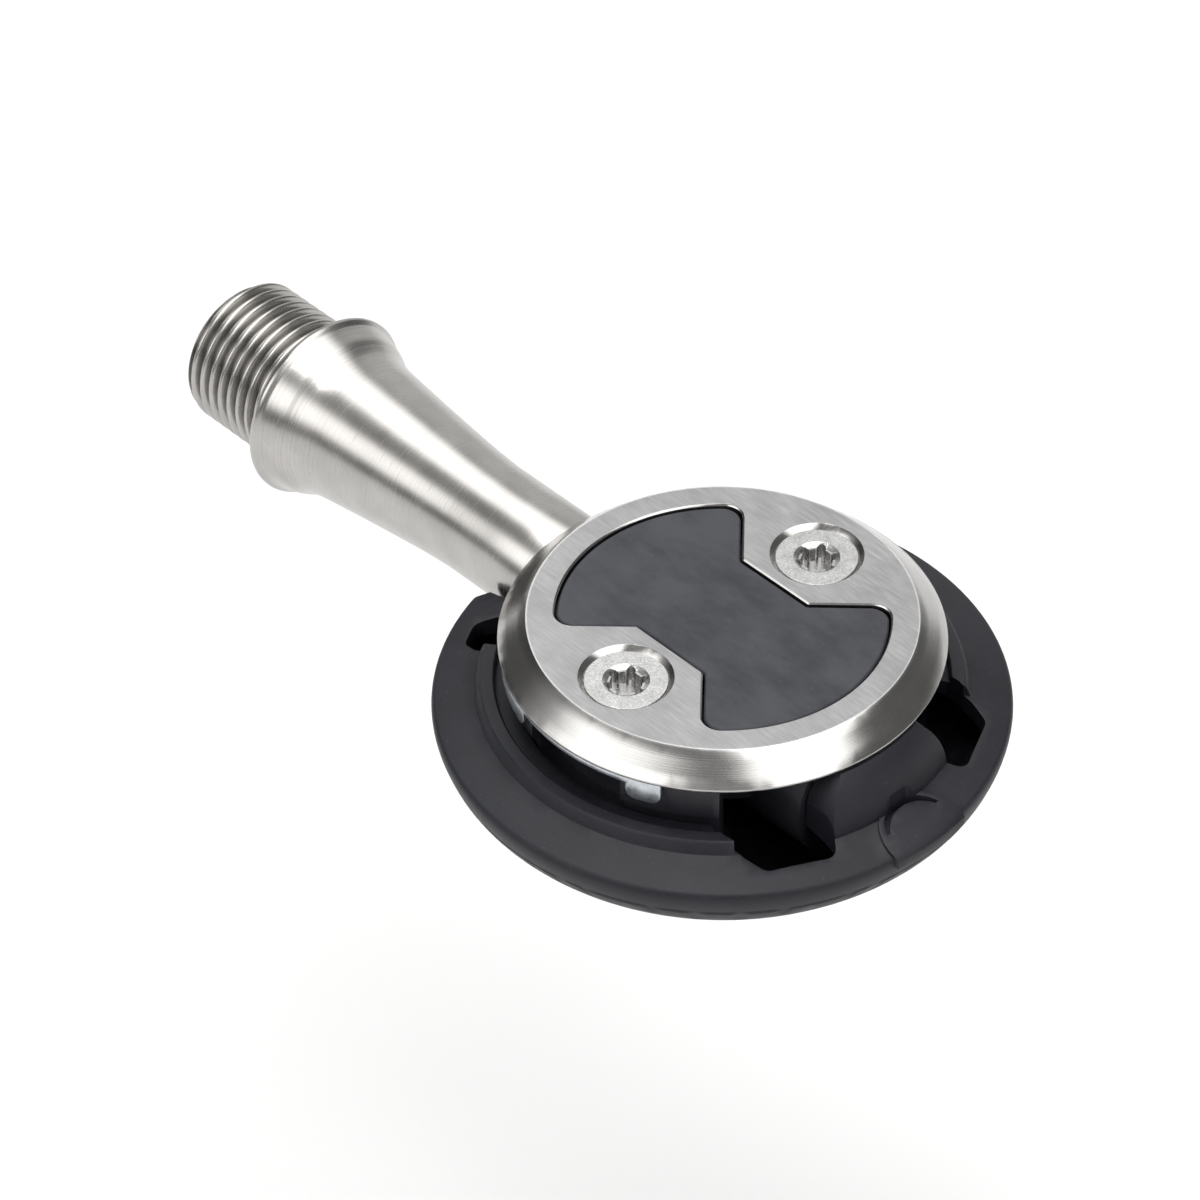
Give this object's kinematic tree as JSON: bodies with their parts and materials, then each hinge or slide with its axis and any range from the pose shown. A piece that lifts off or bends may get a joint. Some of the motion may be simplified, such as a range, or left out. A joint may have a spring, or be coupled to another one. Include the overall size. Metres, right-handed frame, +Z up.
{
  "type": "clipless pedal",
  "caption": "Round single-sided clipless bicycle pedal: steel plate with hourglass insert over a dished aero fairing, turning on a threaded steel spindle.",
  "frame": {"origin": "where the spindle's flange seats on the crank arm, on the spindle's axis", "axes": "X runs along the spindle from the crank outwards, so the crank thread points along -X; Z is up, square to the steel plate; Y is along the rider's direction of travel"},
  "size_m": [0.0916, 0.0514, 0.02],
  "materials": {
    "stainless": "turned and brushed stainless steel",
    "stainless_plate": "satin top, bright brushed bevel",
    "hard_steel": "plain hardened steel",
    "bearing_steel": "ground and polished bearing steel",
    "bright_steel": "bright satin steel",
    "zinc_steel": "bright zinc plate",
    "brass": "turned brass",
    "brass_cage": "pressed brass",
    "black_rubber": "matte nitrile rubber",
    "black_nylon": "moulded nylon, fine mottle",
    "black_composite": "glass-filled composite",
    "charcoal_plastic": "fine matte charcoal plastic"
  },
  "bodies": {
    "spindle": {"spindle": "stainless", "spindle_screw": "hard_steel", "spindle_washer": "hard_steel", "bearing_inner_rings": "bearing_steel"},
    "pedal_body": {"core_body": "black_composite", "top_plate": "stainless_plate", "plate_insert": "charcoal_plastic", "plate_screws": "bright_steel", "plate_bushes": "brass", "wear_clips": "zinc_steel", "aero_fairing": "black_nylon", "fairing_screws": "bright_steel", "fairing_bushes": "brass", "needle_cup": "bearing_steel", "bearing_outer_rings": "bearing_steel", "bearing_shields": "zinc_steel", "lip_seal": "black_rubber", "snap_ring": "hard_steel", "end_plug": "black_nylon", "plug_o_ring": "black_rubber"},
    "needle_set": {"needle_cage": "hard_steel", "needle_rollers": "bearing_steel"},
    "ball_set_inboard": {"ball_cage_inboard": "brass_cage", "balls_inboard": "bearing_steel"},
    "ball_set_outboard": {"ball_cage_outboard": "brass_cage", "balls_outboard": "bearing_steel"}
  },
  "joints": [
    {"name": "pedal_spin", "type": "hinge", "parent": "spindle", "child": "pedal_body", "pos_m": [0.0535, 0, 0], "axis": [1, 0, 0], "continuous": true},
    {"name": "needle_spin", "type": "hinge", "parent": "spindle", "child": "needle_set", "pos_m": [0.0445, 0, 0], "axis": [1, 0, 0], "continuous": true},
    {"name": "ball_spin_inboard", "type": "hinge", "parent": "spindle", "child": "ball_set_inboard", "pos_m": [0.0565, 0, 0], "axis": [1, 0, 0], "continuous": true},
    {"name": "ball_spin_outboard", "type": "hinge", "parent": "spindle", "child": "ball_set_outboard", "pos_m": [0.0605, 0, 0], "axis": [1, 0, 0], "continuous": true}
  ],
  "couplings": [
    {"joint": "needle_spin", "follows": "pedal_spin", "ratio": 0.57474},
    {"joint": "ball_spin_inboard", "follows": "pedal_spin", "ratio": 0.60889},
    {"joint": "ball_spin_outboard", "follows": "pedal_spin", "ratio": 0.60889}
  ]
}
